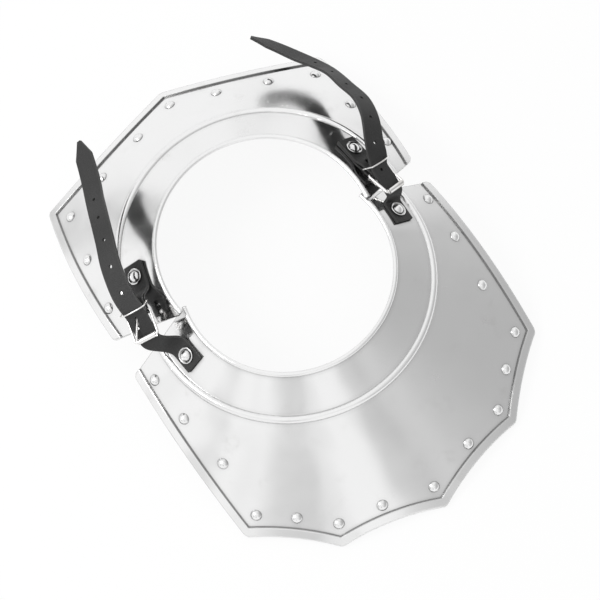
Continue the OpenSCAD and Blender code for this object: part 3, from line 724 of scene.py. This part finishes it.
def make_strap(side):
    way, under = strap_ways[side]
    holes = [under + FIRST_HOLE + k * HOLE_PITCH for k in FREE_HOLES[side]]
    prong = under + PRONG_HOLE
    marks = sorted({0, STRAP_HEEL, prong, *holes, way.length - POINT_LENGTH, way.length})
    form = flat_blank(marks, strap_half_width(way.length))
    punch(form, (STRAP_HEEL, 0), (STRAP_HEEL, 0), RIVET_HOLE_R)
    for s in holes:
        punch(form, (s, 0), (s, 0), STRAP_HOLE_R)
    if side == LEFT:
        ends = [(prong + x, PRONG_SLOT_OFF - y) for x, y in PRONG_SLOT]
        punch(form, *ends, PRONG_SLOT_R)
    strap = settle(bend_strip(SIDES[side] + "_strap", form, way, STRAP_T))
    before = way.axes(under + HINGE_BLEND)[0] * MM
    after = way.axes(under - HINGE_BLEND)[0] * MM
    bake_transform(strap)
    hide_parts(SIDES[side] + "_strap_tail", SIDES[side] + "_strap_root")
    return strap


straps = [make_strap(side) for side in SIDES]
print("straps have", [len(strap.data.polygons) for strap in straps], "faces")

# %% [markdown]
# The chape is the short folded leather that ties the buckle to the back plate. Both its
# ends lie on each other under one rivet, and the fold goes round the inner bar. A long
# slot in the fold lets the prong out. It is cut and bent like the straps.

# %% The two chapes
CHAPE_HEEL = 10.0
CHAPE_REST = 8.0
KEEPER_REACH = 6.5
KEEPER_R = 0.55
NIP = KEEPER_R + LAY_GAP + CHAPE_T / 2
FOLD_STEPS = 24
SLOT_R = 2.5
SLOT_SPARE = 2.0


def chape_way(side):
    """The way of a chape, and the length at which its fold is."""
    rivet, buckle = back_rivets[side], buckles[side]
    reach = buckle.bar - rivet.place
    heading = (reach - reach.dot(rivet.up) * rivet.up).normalized()
    width = rivet.up.cross(heading)
    low = SEAT_GAP + CHAPE_T / 2
    high = low + CHAPE_T + SEAT_GAP
    nip = -KEEPER_REACH - 2 * KEEPER_R
    ahead, across = buckle.ahead, buckle.across
    stations = [(rivet.at(heading, -CHAPE_HEEL, low), width)]
    stations += bend(rivet.at(heading, CHAPE_REST, low), heading, width,
                     buckle.at(nip, -NIP), ahead, across)
    for k in range(FOLD_STEPS + 1):
        turn = math.radians(-90 + 180 * k / FOLD_STEPS)
        stations.append((buckle.at(FOLD_R * math.cos(turn), FOLD_R * math.sin(turn)), across))
    stations += bend(buckle.at(nip, NIP), -ahead, across,
                     rivet.at(heading, CHAPE_REST, high), -heading, width)
    stations.append((rivet.at(heading, -CHAPE_HEEL, high), width))
    fold_at = Way(stations[:2 + BEND_STEPS + 1 + FOLD_STEPS // 2]).length
    return Way(stations), fold_at


def make_chape(side):
    way, fold_at = chape_way(side)
    slot_reach = KEEPER_REACH + SLOT_SPARE + math.pi / 2 * FOLD_R
    ends = (fold_at - slot_reach, fold_at + slot_reach)
    rivet_holes = (CHAPE_HEEL, way.length - CHAPE_HEEL)
    marks = sorted([0, *rivet_holes, *ends, way.length])
    form = flat_blank(marks, lambda s: STRAP_WIDTH / 2)
    for s in rivet_holes:
        punch(form, (s, 0), (s, 0), RIVET_HOLE_R)
    punch(form, (ends[0], 0), (ends[1], 0), SLOT_R)
    chape = settle(bend_strip(SIDES[side] + "_buckle_leather", form, way, CHAPE_T))
    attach(chape, "back")
    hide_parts(SIDES[side] + "_chape")
    return chape


chapes = [make_chape(side) for side in SIDES]
print("chapes have", [len(chape.data.polygons) for chape in chapes], "faces")

# %% [markdown]
# The gorget stands on a plain white table. Its top is one large face, and the material
# is nearly white, so that the soft shadow under the plates still shows.

# %% Floor
FLOOR_HALF = 6.0
FLOOR_DROP = 0.2 * MM
SHADOW_SHARE = 0.12
PAPER_GREY = 0.92
PAPER_ROUGHNESS = 0.9
PAPER_SHINE = 0.1

floor_form = bmesh.new()
bmesh.ops.create_grid(floor_form, x_segments=1, y_segments=1, size=FLOOR_HALF)
floor_mesh = bpy.data.meshes.new("table_top")
floor_form.to_mesh(floor_mesh)
floor_form.free()
floor = bpy.data.objects.new("table_top", floor_mesh)
floor.location.z = -FLOOR_DROP
bpy.context.scene.collection.objects.link(floor)


def table_white():
    """White paper: part of it shines white to whoever looks, so its shadows stay faint."""
    material, shader = new_finish("table_white")
    set_surface(material, shader, Base_Color=grey(PAPER_GREY), Roughness=PAPER_ROUGHNESS,
                Specular_IOR_Level=PAPER_SHINE)
    paper = Wire(shader, material.node_tree.nodes["Principled BSDF"].outputs["BSDF"])
    shine = shader.node("ShaderNodeEmission", {"Color": grey(1.0), "Strength": 1.0})
    seen = sum((shader.node("ShaderNodeLightPath", output=ray)
                for ray in ("Is Camera Ray", "Is Glossy Ray", "Is Transmission Ray")), 0.0)
    share = seen * (1.0 - SHADOW_SHARE)
    both = shader.node("ShaderNodeMixShader", {0: share, 1: paper, 2: shine})
    shader.plug(material.node_tree.nodes["Material Output"].inputs["Surface"], both)
    return material


floor_mesh.materials.append(table_white())
print("floor is", 2 * FLOOR_HALF, "m wide")

# %% [markdown]
# Polished steel shows the room, so the light is the room. The world is white to the
# camera. To the metal it is white as well, except towards the right and the front,
# where the studio is open and falls off to grey: that greys the lower right of the
# front plate. One soft lamp above the left shoulder gives the shadows a direction.

# %% Light
OPEN_SIDE = Vector((0.80, -0.50, 0.20)).normalized()
OPEN_LEVELS = (0.35, 1.0)
OPEN_GREY = 0.50
ROOM_WHITE = 1.0
CLUTTER_SCALE = 2.6
CLUTTER_LEVELS = (0.48, 0.72)
CLUTTER_SHARE = 0.8
CLUTTER_GREY = 0.50
KEY_PLACE = Vector((-0.9, 0.5, 1.2))
KEY_SIZE = 0.7
KEY_POWER = 7.0
MIDDLE = Vector((0, 0, 0.05))

world = bpy.data.worlds.new("studio")
bpy.context.scene.world = world
world.use_nodes = True
room = Shader(world.node_tree)
direction = room.node("ShaderNodeTexCoord", output="Generated")
toward = room.node("ShaderNodeVectorMath", {0: direction, 1: OPEN_SIDE}, output="Value",
                   operation="DOT_PRODUCT")
openness = toward.ramp(*OPEN_LEVELS)
clutter = room.noise(direction, CLUTTER_SCALE, detail=2.0).ramp(*CLUTTER_LEVELS)
shown = 1.0 - room.node("ShaderNodeLightPath", output="Is Camera Ray")
walls = room.tint(clutter * shown * CLUTTER_SHARE, grey(ROOM_WHITE), grey(CLUTTER_GREY))
backdrop = room.tint(openness * shown, walls, grey(OPEN_GREY))
background = world.node_tree.nodes["Background"]
room.plug(background.inputs["Color"], backdrop)
background.inputs["Strength"].default_value = 1.0


def soft_lamp(name, place, target, size, power):
    lamp = bpy.data.lights.new(name, "AREA")
    lamp.size = size
    lamp.energy = power
    holder = bpy.data.objects.new(name, lamp)
    view = (target - place).normalized()
    holder.matrix_world = look_from(place, view.cross(SKY), view)
    bpy.context.scene.collection.objects.link(holder)
    return holder


key_lamp = soft_lamp("key_lamp", KEY_PLACE, MIDDLE, KEY_SIZE, KEY_POWER)
bpy.context.scene.view_settings.view_transform = "Standard"
print("lamps:", key_lamp.name)
